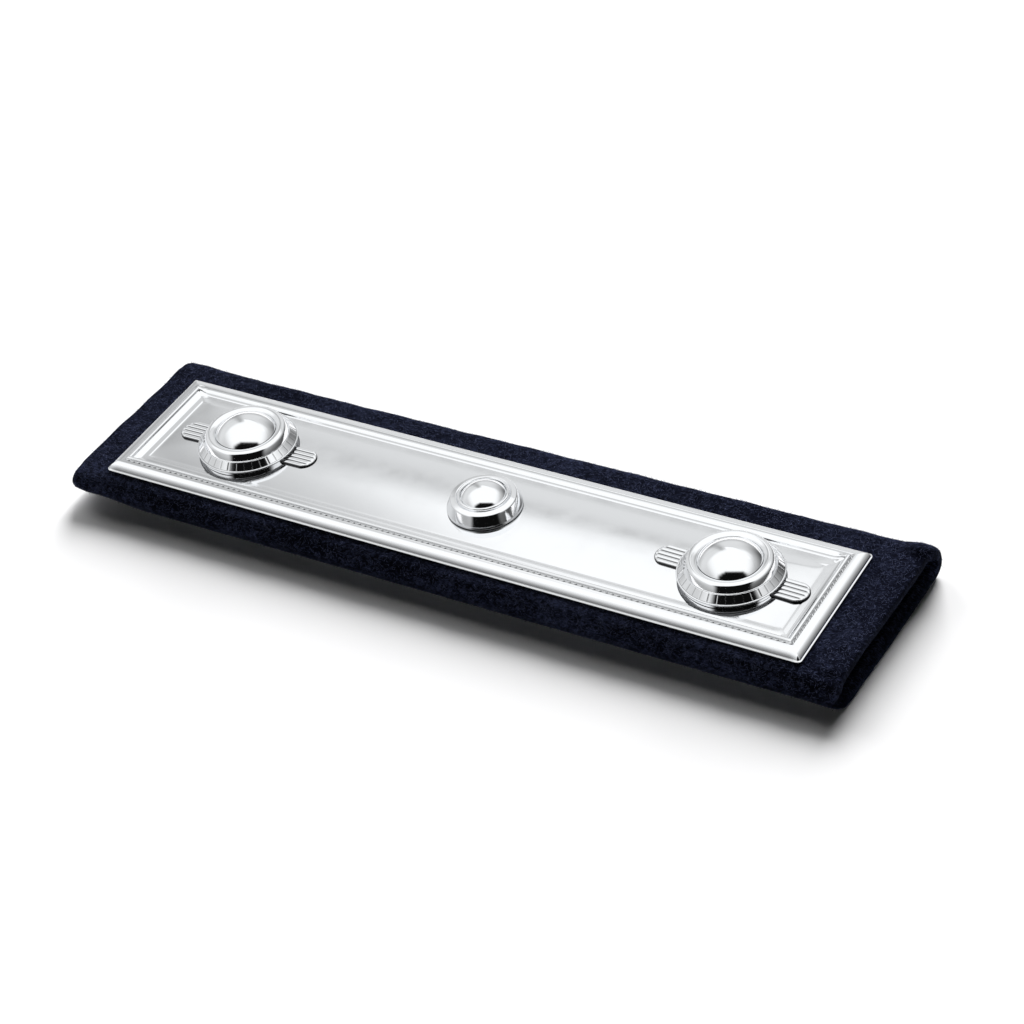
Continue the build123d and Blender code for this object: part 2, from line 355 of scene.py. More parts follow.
def makeFelt(s):
    # wool felt: the larger of two sets of fine bent streaks, as of crossing fibres, and small clumps make
    # the pile, which gives the height. Its colour follows the pile and wide clouds, and is darker where
    # the mesh's own value says: painted shade on the top and the back fold
    material, shader, add = newMaterial("navy_felt")
    math, times = mathMaker(add)
    place = add("TexCoord").outputs["Object"]
    bendScale, bendReach = s["bend"]
    bend = add("TexNoise", {"Vector": place, "Scale": bendScale, "Detail": 1.0}).outputs["Color"]
    bend = add("VectorMath", {0: bend, "Scale": bendReach}, operation="SCALE").outputs[0]
    bent = add("VectorMath", {0: place, 1: bend}, operation="ADD").outputs[0]
    streaks = []
    for turn, scales in s["fibres"]:
        drawn = add("Mapping", {
            "Vector": bent, "Rotation": (0.0, 0.0, radians(turn)), "Scale": scales,
        }).outputs[0]
        noise = {"Vector": drawn, "Scale": 1.0, "Detail": 2.0, "Roughness": 0.6}
        streaks.append(add("TexNoise", noise).outputs[0])
    clump = add("TexNoise", {"Vector": place, "Scale": s["clump"], "Detail": 3.0, "Distortion": 0.8})
    cloud = add("TexNoise", {"Vector": place, "Scale": s["cloud"], "Detail": 2.0})
    fibre = times(math("MAXIMUM", *streaks), s["fibreShare"])
    pile = math("ADD", fibre, times(clump.outputs[0], 1 - s["fibreShare"]))
    offMiddle = math("SUBTRACT", cloud.outputs[0], 0.5)
    shade = math("ADD", pile, times(offMiddle, s["cloudShare"]))
    low, high = s["range"]
    factor = add("MapRange", {"Value": shade, "From Min": low, "From Max": high}).outputs[0]
    # painted shade: darker on the top and the back fold, as the mesh marks them
    paintedShade = add("Attribute", attribute_name="tarnishAndShade").outputs["Fac"]
    factor = times(factor, math("SUBTRACT", 1.0, times(paintedShade, s["paintedShade"])))
    colour = add("Mix", {"Factor": factor, 6: s["dark"], 7: s["light"]}, data_type="RGBA")
    bump = add("Bump", {"Height": pile, "Strength": 0.9, "Distance": s["bump"]})
    tree = material.node_tree
    tree.links.new(colour.outputs[2], shader.inputs["Base Color"])
    tree.links.new(bump.outputs[0], shader.inputs["Normal"])
    shader.inputs["Roughness"].default_value = s["roughness"]
    shader.inputs["Specular IOR Level"].default_value = s["specular"]
    shader.inputs["Sheen Weight"].default_value = s["sheen"]
    shader.inputs["Sheen Roughness"].default_value = s["sheenRoughness"]
    shader.inputs["Sheen Tint"].default_value = s["sheenTint"]
    return material


def mottledColour(add, s):
    # a soft noise between the dark and the light colour
    place = add("TexCoord").outputs["Object"]
    scale, detail = s["mottle"]
    noise = add("TexNoise", {"Vector": place, "Scale": scale, "Detail": detail}).outputs[0]
    return add("Mix", {"Factor": noise, 6: s["dark"], 7: s["light"]}, data_type="RGBA").outputs[2]


def makeStudMetal(s):
    # plain brass with a faint mottle
    material, shader, add = newMaterial("stud_brass")
    material.node_tree.links.new(mottledColour(add, s), shader.inputs["Base Color"])
    shader.inputs["Metallic"].default_value = 1.0
    shader.inputs["Roughness"].default_value = s["roughness"]
    return material


def makeFibreWool(s):
    # single fibres, a little lighter than the felt, in two tones
    material, shader, add = newMaterial("wool_fibres")
    material.node_tree.links.new(mottledColour(add, s), shader.inputs["Base Color"])
    shader.inputs["Roughness"].default_value = s["roughness"]
    shader.inputs["Specular IOR Level"].default_value = s["specular"]
    return material


silver, felt = makeSilver(silverSettings), makeFelt(feltSettings)
studMetal, fibreWool = makeStudMetal(studMetalSettings), makeFibreWool(fibreWoolSettings)


def gridFaces(rows, columns, closeRows=False, closeColumns=False):
    # four corners of each cell of a grid whose points are numbered row by row
    usedRows, usedColumns = np.arange(rows - (not closeRows)), np.arange(columns - (not closeColumns))
    i, j = np.meshgrid(usedRows, usedColumns, indexing="ij")
    nextRow, nextColumn = (i + 1) % rows, (j + 1) % columns
    corners = ((i, j), (i, nextColumn), (nextRow, nextColumn), (nextRow, j))
    return np.stack([row * columns + column for row, column in corners], -1).reshape(-1, 4)


def addPiece(name, points, faces, material, replaced, crease=35.0, tarnishAndShade=None):
    # merges doubled points, which closes poles and mitres, turns the faces out and marks sharp edges;
    # the last argument is each point's own darkening from 0 to 1: tarnish and painted shade on silver,
    # painted shade on felt
    mesh = bpy.data.meshes.new(name)
    mesh.from_pydata((np.asarray(points).reshape(-1, 3) * mm).tolist(), [], faces.tolist())
    if tarnishAndShade is not None:
        values = mesh.attributes.new("tarnishAndShade", "FLOAT", "POINT").data
        values.foreach_set("value", np.ravel(tarnishAndShade).astype(np.float32))
    piece = newObject(name, mesh)
    bpy.context.view_layer.objects.active = piece
    bpy.ops.object.select_all(action="DESELECT")
    piece.select_set(True)
    bpy.ops.object.mode_set(mode="EDIT")
    bpy.ops.mesh.select_all(action="SELECT")
    bpy.ops.mesh.remove_doubles(threshold=0.0005 * mm)
    bpy.ops.mesh.normals_make_consistent(inside=False)
    bpy.ops.object.mode_set(mode="OBJECT")
    mesh.shade_smooth()
    mesh.set_sharp_from_angle(angle=radians(crease))
    mesh.materials.append(material)
    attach(piece, "root")
    if replaced:
        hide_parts(*replaced)
    return piece


def softStep(value, start, run):
    # from 0 at start to 1 a run further: three times the square of the share less twice its cube
    share = np.clip((value - start) / run, 0, 1)
    return share * share * (3 - 2 * share)


def hardStep(value, start, run):
    # the same in a straight line
    return np.clip((value - start) / run, 0, 1)


def roundStep(value, start, run):
    # the same as a quarter circle, steep at 0 and level at 1
    return np.sqrt(np.clip(1 - (1 - hardStep(value, start, run)) ** 2, 0, 1))


def fromTable(table, at):
    # value at each place, on straight lines between a table's rows of (place, value)
    places, values = np.array(table).T
    return np.interp(at, places, values)


def denserAtEnds(count, waveShare):
    # shares from 0 to 1: this part of them half a cosine wave, the rest in even steps
    even = np.linspace(0, 1, count)
    return waveShare * (1 - np.cos(pi * even)) / 2 + (1 - waveShare) * even


def line(start, end, count):
    # points in even steps from start to end
    share = np.linspace(0, 1, count)[:, None]
    return np.asarray(start) * (1 - share) + np.asarray(end) * share


def tangentArc(start, end, direction, count):
    # circle that leaves start along direction and reaches end: each point is start plus radius times
    # (sine of the turned angle along direction, one minus its cosine across it)
    start, end = np.asarray(start, float), np.asarray(end, float)
    along = np.asarray(direction, float) / np.linalg.norm(direction)
    chord = end - start
    across = chord - along * (chord @ along)
    across /= np.linalg.norm(across)
    bend = np.arctan2(chord @ across, chord @ along)
    radius = np.linalg.norm(chord) / (2 * sin(bend))
    angle = np.linspace(0, 2 * bend, count)[:, None]
    return start + radius * (np.sin(angle) * along + (1 - np.cos(angle)) * across)


def roundedPath(corners, steps=5):
    # corners: (x, y, rounding); each corner becomes a circle's arc tangent to both of its sides
    out = []
    for k, (x, y, rounding) in enumerate(corners):
        here = np.array((x, y), float)
        if not rounding or k in (0, len(corners) - 1):
            out.append(here[None])
            continue
        before = np.array(corners[k - 1][:2], float) - here
        after = np.array(corners[k + 1][:2], float) - here
        before, after = before / np.linalg.norm(before), after / np.linalg.norm(after)
        half = np.arccos(np.clip(before @ after, -1, 1)) / 2
        reach = rounding / tan(half)
        out.append(tangentArc(here + before * reach, here + after * reach, -before, steps))
    return np.concatenate(out)


roundColumns = 144  # round a boss


def turned(outline, centre, columns=roundColumns, closed=False):
    # surface of revolution: (radius, height) carried round an upright axis through centre
    angle = np.arange(columns) * 2 * pi / columns
    radius, height = outline[:, :1], outline[:, 1:]
    points = np.stack([
        centre[0] + radius * np.cos(angle), centre[1] + radius * np.sin(angle),
        centre[2] + height + 0 * angle,
    ], -1)
    return points, gridFaces(len(outline), columns, closeRows=closed, closeColumns=True)


def addTurned(name, outline, place, replaced, closed=False, tarnishAndShade=None):
    # a silver piece whose outline is turned round its boss's axis, with tarnish and painted shade for each
    # outline point
    points, faces = turned(outline, place, closed=closed)
    if tarnishAndShade is not None:
        tarnishAndShade = np.repeat(tarnishAndShade, roundColumns)
    return addPiece(name, points, faces, silver, (replaced,), tarnishAndShade=tarnishAndShade)


plateSettings = {
    "length": 118.0,
    "width": 24.5,
    "centre": (-1.35, -1.30),
    "felt": 4.6,  # height of the felt's top under it
    "thickness": 0.8,
    "corner": 0.7,
    # foot and narrow ledge under the bevel: distance from the edge, height, rounding
    "foot": ((0.6, 0.0, 0), (0.0, 0.0, 0.06), (0.0, 0.30, 0.10), (0.24, 0.33, 0.04), (0.29, 0.50, 0)),
    "rim": 1.3,
    "bevel": 2.0,
    "bevelPower": 3.0,
    "bevelSpacing": 1.3,  # power that crowds the bevel's rows at its foot
    "groove": 0.4,
    "grooveDepth": 0.15,
    "grooveFlat": 0.08,  # half the width of its bottom
    "bead": 0.65,
    "beadRise": 0.25,
    "beadSink": 0.03,  # its middle lies this far under the rim
    "cove": 1.05,
    "step": (0.65, 0.35, 0.035),  # shallow step round the field: flat, fall, height
    "crown": 0.10,  # the field falls this far from its crest to its long edges
    "crownEnds": 6.0,  # and falls off over this length at its two ends
    "drift": 0.056,  # the crest runs this far towards the back per mm along the board
    "backCrest": (3.0, 36.0, 12.0),  # and this much further at the right end: how far, from which x, run
    "tarnishAndShade": 0.35,  # tarnish and painted shade in the groove
    # painted reflection and shade on the front border, by distance from the edge
    "frontPaintedShade": (
        (0.0, 0.25), (0.24, 0.25), (0.28, 0.78), (0.35, 0.62), (0.50, 0.42), (0.70, 0.24), (0.90, 0.0),
        (1.55, 0.0), (1.90, 0.08), (2.0, 0.30), (2.4, 0.30), (2.5, 0.18), (2.75, 0.05), (2.95, 0.10),
        (3.05, 0.38), (3.20, 0.10), (3.35, 0.0), (4.05, 0.0), (4.25, 0.10), (4.45, 0.16), (4.75, 0.12),
        (5.1, 0.0),
    ),
    # other heights along the two long borders, by distance from the edge: at the front a narrow cove, at
    # the back one plain ridge in place of groove, bead and cove
    "frontBand": (
        (3.05, 1.15), (3.20, 0.92), (3.40, 0.715), (3.60, 0.712), (4.10, 0.742), (4.30, 0.745),
        (4.75, 0.705), (5.10, 0.700),
    ),
    "backBand": (
        (1.70, 1.296), (1.95, 1.300), (2.10, 1.295), (2.60, 1.235), (2.85, 1.155), (3.05, 0.98),
        (3.12, 0.86), (3.30, 0.675), (4.10, 0.683), (4.75, 0.692), (5.10, 0.700),
    ),
    "bandBlend": 1.5,  # they come in over this distance from the mitres
}


def borderOutline(s):
    # from under the edge inwards: rows of (distance from the plate's edge, height above the felt), their
    # tarnish and painted shade, and the whole border's width. The bevel's fall from its top is a power of
    # the share of the way out, the bead is half an ellipse, the cove an arc and the step half a cosine wave
    beadStart = s["bevel"] + s["groove"]
    coveStart = beadStart + s["bead"]
    coveEnd = coveStart + s["cove"]
    flat, fall, stepHeight = s["step"]
    base = s["thickness"] - s["crown"]
    edge = roundedPath(s["foot"])
    footStart, footHeight, _ = s["foot"][-1]
    share = np.linspace(0, 1, 26)[1:, None] ** s["bevelSpacing"]
    bevelHeight = s["rim"] - (s["rim"] - footHeight) * (1 - share) ** s["bevelPower"]
    bevel = np.hstack([footStart + (s["bevel"] - footStart) * share, bevelHeight])
    middle, bottom = s["bevel"] + s["groove"] / 2, s["rim"] - s["grooveDepth"]
    groove = np.array([(middle - s["grooveFlat"], bottom), (middle + s["grooveFlat"], bottom)])
    angle = np.linspace(pi, 0, 13)[:, None]
    beadHeight = s["rim"] - s["beadSink"] + (s["beadRise"] + s["beadSink"]) * np.sin(angle)
    bead = np.hstack([beadStart + s["bead"] / 2 * (1 + np.cos(angle)), beadHeight])
    cove = tangentArc((coveEnd, base + stepHeight), (coveStart, bottom), (-1, 0), 14)[::-1]
    share = np.linspace(0, 1, 9)[:, None]
    step = np.hstack([coveEnd + flat + fall * share, base + stepHeight * (1 + np.cos(pi * share)) / 2])
    parts = (edge, bevel, groove, bead, cove, step)
    tarnishAndShade = np.concatenate([np.full(len(part), s["tarnishAndShade"] if part is groove else 0.0) for part in parts])
    return np.concatenate(parts), tarnishAndShade, coveEnd + flat + fall


def framePoints(s, offsets, perSide=64, perCorner=9):
    # closed paths inside the plate's outline at the given distances from it; nearer than the corner
    # radius a path's corner is a smaller arc, and further in it is a plain mitre
    halfX, halfY = s["length"] / 2 - s["corner"], s["width"] / 2 - s["corner"]
    signs = ((1, -1), (1, 1), (-1, 1), (-1, -1))  # right front, right back, left back, left front
    left = s["corner"] - np.asarray(offsets, float)[:, None]
    rounded, mitred = np.maximum(left, 0), np.minimum(left, 0)
    out = []
    for k, (sx, sy) in enumerate(signs):
        angle = radians(-90 + 90 * k) + np.linspace(0, pi / 2, perCorner)
        x = sx * (halfX + mitred) + rounded * np.cos(angle)
        y = sy * (halfY + mitred) + rounded * np.sin(angle)
        out.append(np.stack([x, y], -1))
        nextX, nextY = signs[(k + 1) % 4]
        endX = nextX * (halfX + mitred) + rounded * cos(angle[-1])
        endY = nextY * (halfY + mitred) + rounded * sin(angle[-1])
        count = perSide if k % 2 else perSide // 3
        share = denserAtEnds(count + 2, 1.0)[1:-1]
        startX, startY = x[:, -1:], y[:, -1:]
        out.append(np.stack([startX + (endX - startX) * share, startY + (endY - startY) * share], -1))
    return np.concatenate(out, axis=1)


def makePlate(s):
    # the outline above carried round the plate, from the middle of its underside over the border to
    # the middle of its field. Away from the mitres the two long borders take the heights of their own
    # tables. The field is a shallow crown: on each side of its crest, which drifts to the back along the
    # board, its height falls with the square of the share of the way out. The darkening is the larger of
    # the groove's tarnish and painted shade and, on the front border, the table's painted reflection and
    # shade
    outline, tarnishAndShade, border = borderOutline(s)
    middle = s["width"] / 2
    halfX, halfY = s["length"] / 2 - border, middle - border
    under = line((middle, 0), outline[0], 4)[:-1]
    field = line(outline[-1], (middle, outline[-1][1]), 26)[1:]
    outline = np.concatenate([under, outline, field])
    tarnishAndShade = np.pad(tarnishAndShade, (len(under), len(field)))
    paths = framePoints(s, outline[:, 0])
    height = np.repeat(outline[:, 1:], paths.shape[1], axis=1)
    fromEnd = s["length"] / 2 - np.abs(paths[..., 0])
    fromLong = middle - np.abs(paths[..., 1])
    onLong = softStep(fromEnd - fromLong, 0, s["bandBlend"])
    distance = outline[:, :1]
    for sign, name in ((-1, "frontBand"), (1, "backBand")):
        bandStart, bandEnd = s[name][0][0] + 0.01, s[name][-1][0]  # just after its first row
        inBand = (distance > bandStart) & (distance < bandEnd) & (paths[..., 1] * sign > 0)
        height = np.where(inBand, height + onLong * (fromTable(s[name], distance) - height), height)
    inField = np.arange(len(outline))[:, None] >= len(outline) - len(field)
    further, furtherFrom, furtherRun = s["backCrest"]
    crest = s["drift"] * paths[..., 0] + further * softStep(paths[..., 0], furtherFrom, furtherRun)
    crest = crest / halfY
    share = paths[..., 1] / halfY - crest
    across = np.clip(np.where(share > 0, share / (1 - crest), -share / (1 + crest)), 0, 1) ** 2
    along = hardStep(np.abs(paths[..., 0]), halfX - s["crownEnds"], s["crownEnds"]) ** 2
    height = height + np.where(inField, s["crown"] * (1 - across) * (1 - along), 0)
    points = np.dstack([paths, height]) + (*s["centre"], s["felt"])
    faces = gridFaces(*points.shape[:2], closeColumns=True)
    # painted reflection and shade on the front border
    onFront = onLong * (paths[..., 1] < 0)
    tarnishAndShade = np.maximum(tarnishAndShade[:, None], onFront * fromTable(s["frontPaintedShade"], distance))
    return addPiece("silver_plate", points, faces, silver, ("plate",), tarnishAndShade=tarnishAndShade)


makePlate(plateSettings)
print("plate done")


milgrainSettings = {
    "offset": 2.2,  # from the plate's edge
    "pitch": 0.98,
    "half": (0.46, 0.14, 0.105),  # grain's half length, half width and height
    "slant": 15.0,  # degrees from the row, as the strands of a rope
    "height": 1.19,  # of the grains' middle above the felt
    "tarnishAndShade": (0.95, 1.1),  # most tarnish and painted shade between the grains, and how fast it grows from a grain's crest down to its middle
}


def grain(half, rings=5, sides=8):
    # a ball's points, squeezed to the three half sizes: (x, y, z) = half times the unit ball
    tilt = np.linspace(-pi / 2, pi / 2, rings)[:, None]
    turn = np.arange(sides) * 2 * pi / sides
    ball = np.stack([np.sin(tilt) + 0 * turn, np.cos(tilt) * np.cos(turn), np.cos(tilt) * np.sin(turn)], -1)
    return ball * half, gridFaces(rings, sides, closeColumns=True)


def copies(points, faces, places, turns):
    # the same small shape at each place, turned about the upright axis by its own angle
    shape = points.reshape(-1, 3)
    c, s = np.cos(turns)[:, None], np.sin(turns)[:, None]
    x = shape[:, 0] * c - shape[:, 1] * s
    y = shape[:, 0] * s + shape[:, 1] * c
    z = np.broadcast_to(shape[:, 2], x.shape)
    out = np.stack([x, y, z], -1) + places[:, None]
    starts = np.arange(len(places))[:, None, None] * len(shape)
    return out.reshape(-1, 3), (faces[None] + starts).reshape(-1, 4)


def makeMilgrain(s, plate):
    # small slanted grains at even steps along two sides of a rectangle inside the plate's edge, with
    # darkening that grows from their crests down: tarnish and painted shade between the grains
    halfX, halfY = plate["length"] / 2 - s["offset"], plate["width"] / 2 - s["offset"]
    corners = np.array([(-halfX, -halfY), (halfX, -halfY), (halfX, halfY), (-halfX, halfY)])
    places, turns = [], []
    for k in (0, 1):  # the front border and the right one
        start, end = corners[k], corners[(k + 1) % 4]
        length = np.linalg.norm(end - start)
        count = int(length / s["pitch"])
        share = (np.arange(count) + 0.5) / count
        places.append(start + (end - start) * share[:, None])
        turns.append(np.full(count, np.arctan2(*(end - start)[::-1]) + radians(s["slant"])))
    places = np.concatenate(places) + plate["centre"]
    places = np.column_stack([places, np.full(len(places), plate["felt"] + s["height"])])
    shape, shapeFaces = grain(s["half"])
    points, faces = copies(shape, shapeFaces, places, np.concatenate(turns))
    mostTarnishAndShade, growth = s["tarnishAndShade"]
    tarnishAndShade = mostTarnishAndShade * np.clip(growth * (1 - shape[..., 2] / s["half"][2]), 0, 1)
    tarnishAndShade = np.tile(tarnishAndShade.ravel(), len(places))
    return addPiece("plate_milgrain", points, faces, silver, (), crease=80.0, tarnishAndShade=tarnishAndShade)


makeMilgrain(milgrainSettings, plateSettings)
print("milgrain done")


fieldHeight = 5.4
bossPlaces = {
    "left": (-41.942, -0.8345, fieldHeight),
    "middle": (0.302, -0.369, fieldHeight),
    "right": (41.012, -0.761, fieldHeight),
}

domeSettings = {
    "large": {"seat": 1.95, "radius": 4.65, "angle": 50.0, "edge": 2.88},
    "small": {"seat": 1.8, "radius": 3.4, "angle": 50.0, "edge": 2.38},
    "flange": 0.3,
}


def makeDome(name, place, s, replaced):
    # a ball's cap on a short upright side, with a hidden flange and a flat foot
    flange, radius, edge, seat = domeSettings["flange"], s["radius"], s["edge"], s["seat"]
    cap = tangentArc((0, edge + radius * tan(radians(s["angle"] / 2))), (radius, edge), (1, 0), 40)
    outer, top = radius + flange, seat + flange
    foot = np.array([(radius, top), (outer, top), (outer, seat), (0, seat)])
    return addTurned(name, np.concatenate([cap, foot]), place, replaced)


ringSettings = {
    "shelf": 1.95,
    "crest": (5.6, 3.2),
    "shoulder": (0.8, 60.0),  # its radius and how far it turns from the crest, in degrees
    "side": (6.69, 2.0),
    "lip": (4.73, 2.88),
    "lipEdge": (0.06, 0.02),  # its upper edge: how far out and how far up the crest's arc starts
    "flange": (5.03, 2.33),
}


def makeRing(name, place, s, replaced):
    # closed outline turned round the axis: out over the crest, down the sloping side, back under the dome
    radius, bend = s["shoulder"][0], radians(s["shoulder"][1])
    end = (s["crest"][0] + radius * sin(bend), s["crest"][1] - radius * (1 - cos(bend)))
    outer = tangentArc(s["crest"], end, (1, 0), 18)
    outer = np.concatenate([outer, tangentArc(end, s["side"], (cos(bend), -sin(bend)), 8)[1:]])
    (lip, lipHeight), (edgeOut, edgeUp) = s["lip"], s["lipEdge"]
    inner = tangentArc(s["crest"], (lip + edgeOut, lipHeight + edgeUp), (-1, 0), 22)[::-1]
    under = np.array([
        (s["side"][0], s["shelf"]), (s["flange"][0], s["shelf"]), s["flange"], (lip, s["flange"][1]),
        (lip, lipHeight - edgeOut),
    ])
    return addTurned(name, np.concatenate([outer, under, inner[:-1]]), place, replaced, closed=True)


skirtSettings = {
    # radius, height, rounding: of the flare under the rim, and of the rim
    "flare": ((7.5, 0.4, 0), (7.55, 0.43, 0.02), (7.55, 0.72, 0.02)),
    "rim": ((7.85, 0.75, 0), (7.85, 0.92, 0.09), (7.65, 0.92, 0.02)),
    "bandFoot": (7.64, 0.90),
    "band": (6.70, 1.90),
    "shelf": (6.60, 1.95),
    "flutes": 36,
    "fluteDepth": 0.022,
    "fluteShare": 0.15,  # of the pitch
    "flutePower": 0.7,
    "fluteFade": 0.10,  # share of the band over which they fade out at each border
    "fluteSlant": 0.7,  # the band lies at about 45 degrees: this much of their depth goes in, and down
    # darkening: tarnish and painted shade in the flutes, painted shade and reflection on the edges of rim
    # and band and on the flare
    "tarnishAndShade": 0.42,
    "rimPaintedShade": 0.9,
    "flarePaintedShade": 0.6,
}


def makeSkirt(name, place, s, replaced, perFlute=16):
    # turned outline whose band is drawn in by flutes: each flute is a power of half a cosine wave across
    # its share of the pitch, and fades out towards the band's two borders. Tarnish and painted shade lie in
    # the flutes, painted shade and reflection on the flare and on the edges of rim and band
    flare = roundedPath((*s["flare"], s["rim"][0]), 4)
    rim = roundedPath((*s["rim"], (*s["bandFoot"], 0)), 6)
    band = line(s["bandFoot"], s["band"], 18)
    top = np.array([s["shelf"], (0, s["shelf"][1])])
    outline = np.concatenate([[(0, s["flare"][0][1])], flare, rim[1:], band[1:], top])
    columns = s["flutes"] * perFlute
    phase = (np.arange(columns) / perFlute + 0.5) % 1 - 0.5
    wave = np.clip(np.cos(pi * np.clip(phase / s["fluteShare"], -0.5, 0.5)), 0, 1) ** s["flutePower"]
    start = len(flare) + len(rim) - 1
    share = np.linspace(0, 1, len(band))
    cut = np.zeros(len(outline))
    cut[start:start + len(band)] = hardStep(np.minimum(share, 1 - share), 0, s["fluteFade"])
    cut = cut[:, None] * wave
    edges = np.zeros(len(outline))
    edges[[len(flare), start, start + len(band)]] = s["rimPaintedShade"]
    edges[1:len(flare)] = s["flarePaintedShade"]
    tarnishAndShade = np.maximum(s["tarnishAndShade"] * cut, edges[:, None])
    points, faces = turned(outline, (0, 0, 0), columns)
    radius = np.linalg.norm(points[..., :2], axis=-1, keepdims=True)
    depth = s["fluteDepth"] * s["fluteSlant"] * cut
    points[..., :2] -= points[..., :2] / np.maximum(radius, 1e-9) * depth[..., None]
    points[..., 2] -= depth
    return addPiece(name, points + place, faces, silver, (replaced,), tarnishAndShade=tarnishAndShade)


earSettings = {
    "reach": 12.2,
    "halfWidth": 2.075,
    "base": 0.25,
    "rib": 0.15,
    "ribs": 5,
    "edge": 0.14,
    "ribEnd": (0.15, 0.5),  # from the tip: where the ribs start to rise, and over what length
    "tipFlat": 0.02,  # share of the half width that is straight at the tip
    "turn": {"left": 1.0, "right": -1.5},
    "start": 5.0,  # hidden under the foot
    "disc": 7.5,
    # painted shade in the lines between the ribs and along the outline
    "tarnishAndShade": 1.0,
    "ribShadeShare": 0.34,  # of a rib's half width
    "ribShadePower": 0.6,
    "ribShadeEnd": (0.35, 0.3),  # from the tip: where the dark lines start, and over what length
    "outlineShadeEdge": 0.05,  # the outline is fully dark up to this distance
}


def makeEars(name, place, s, side, replaced, rows=90, perRib=14):
    # height over a tongue: base plus ribs, each the square root of one minus the square of the share
    # across it, rounded down along the outline, which ends in half a circle; a disc joins the two.
    # Painted shade lies in the lines between the ribs and along the outline
    columns = s["ribs"] * perRib + 1
    across = np.linspace(-1, 1, columns)
    y = across * s["halfWidth"]
    roundTip = np.sqrt(1 - np.clip(np.abs(across) - s["tipFlat"], 0, 1) ** 2)
    end = s["reach"] - s["halfWidth"] + s["halfWidth"] * roundTip
    share = 1 - (1 - np.linspace(0, 1, rows)) ** 2  # denser near the tip
    x = s["start"] + (end - s["start"]) * share[:, None]
    ribShare = (across + 1) / 2 * s["ribs"] % 1 * 2 - 1
    ribs = np.sqrt(np.clip(1 - ribShare ** 2, 0, 1))
    toTip = end - x
    inside = np.minimum(toTip, s["halfWidth"] * (1 - np.abs(across)))
    ribs = ribs * roundStep(toTip, *s["ribEnd"]) * hardStep(inside, 0, s["edge"])
    z = s["base"] * roundStep(inside, 0, s["edge"]) + s["rib"] * ribs
    lines = hardStep(np.abs(ribShare), 1 - s["ribShadeShare"], s["ribShadeShare"]) ** s["ribShadePower"]
    lines = lines * hardStep(toTip, *s["ribShadeEnd"])
    edges = 1 - hardStep(inside, s["outlineShadeEdge"], s["edge"])
    tarnishAndShade = s["tarnishAndShade"] * np.maximum(lines, edges)
    parts, faces, recesses, used = [], [], [], 0
    for half in (0, pi):
        turn = radians(s["turn"][side]) + half
        turnedX, turnedY = x * cos(turn) - y * sin(turn), x * sin(turn) + y * cos(turn)
        for height in (z, 0 * z):
            parts.append(np.stack([turnedX, turnedY, height], -1).reshape(-1, 3))
            faces.append(gridFaces(rows, columns) + used)
            recesses.append(tarnishAndShade.ravel())
            used += rows * columns
        # the end under the foot
        first = used - 2 * rows * columns
        j = np.arange(columns - 1)
        lower = first + rows * columns
        faces.append(np.stack([first + j, first + j + 1, lower + j + 1, lower + j], -1))
    top = s["base"] + s["rib"]
    discOutline = np.array([(0, 0), (s["disc"], 0), (s["disc"], top), (0, top)])
    disc, discFaces = turned(discOutline, (0, 0, 0), 96)
    parts.append(disc.reshape(-1, 3))
    recesses.append(np.zeros(disc.shape[0] * disc.shape[1]))
    faces.append(discFaces + used)
    points, faces, tarnishAndShade = (np.concatenate(values) for values in (parts, faces, recesses))
    points = points + place
    return addPiece(name, points, faces, silver, (replaced,), crease=50.0, tarnishAndShade=tarnishAndShade)


for side in ("left", "right"):
    place = bossPlaces[side]
    makeEars(f"ribbed_ears_{side}", place, earSettings, side, f"ears_{side}")
    makeSkirt(f"boss_skirt_{side}", place, skirtSettings, f"skirt_{side}")
    makeRing(f"boss_ring_{side}", place, ringSettings, f"ring_{side}")
    makeDome(f"boss_dome_{side}", place, domeSettings["large"], f"dome_{side}")
print("large bosses done")


collarSettings = {
    # side from the foot to the top: radius, height, rounding
    "side": (
        (5.38, 0.0, 0), (5.72, 0.10, 0.12), (5.68, 0.52, 0.30), (4.98, 2.10, 0.42), (4.15, 2.33, 0.25),
        (3.85, 2.00, 0),
    ),
    "lip": (3.48, 3.95, 2.38),  # inner and outer radius, height of its sides
    "flange": (3.78, 2.18),
    "foot": 1.8,  # height of the lip's foot
    "tarnishAndShade": ((0.0, 0.9), (0.10, 0.8), (0.35, 0.0)),  # painted shade at its foot, by height
}


def makeCollar(place, s):
    # a steep side under a rounded shoulder, turned round the axis, with painted shade low on it
    outline = np.concatenate([[(0, 0)], roundedPath(s["side"], 14), [(0, s["side"][-1][1])]])
    tarnishAndShade = fromTable(s["tarnishAndShade"], outline[:, 1])
    return addTurned("boss_collar_middle", outline, place, "collar_middle", tarnishAndShade=tarnishAndShade)


def makeLip(place, s):
    # half a circle over two upright sides, turned round the axis, with room under it for the flange
    inner, outer, height = s["lip"]
    half = (outer - inner) / 2
    angle = np.linspace(0, pi, 17)[:, None]
    crest = np.hstack([(inner + outer) / 2 + half * np.cos(angle), height + half * np.sin(angle)])
    under = np.array([(inner, s["flange"][1]), s["flange"], (s["flange"][0], s["foot"]), (outer, s["foot"])])
    return addTurned("boss_lip_middle", np.concatenate([crest, under]), place, "lip_middle", closed=True)


makeCollar(bossPlaces["middle"], collarSettings)
makeLip(bossPlaces["middle"], collarSettings)
makeDome("boss_dome_middle", bossPlaces["middle"], domeSettings["small"], "dome_middle")
print("middle boss done")


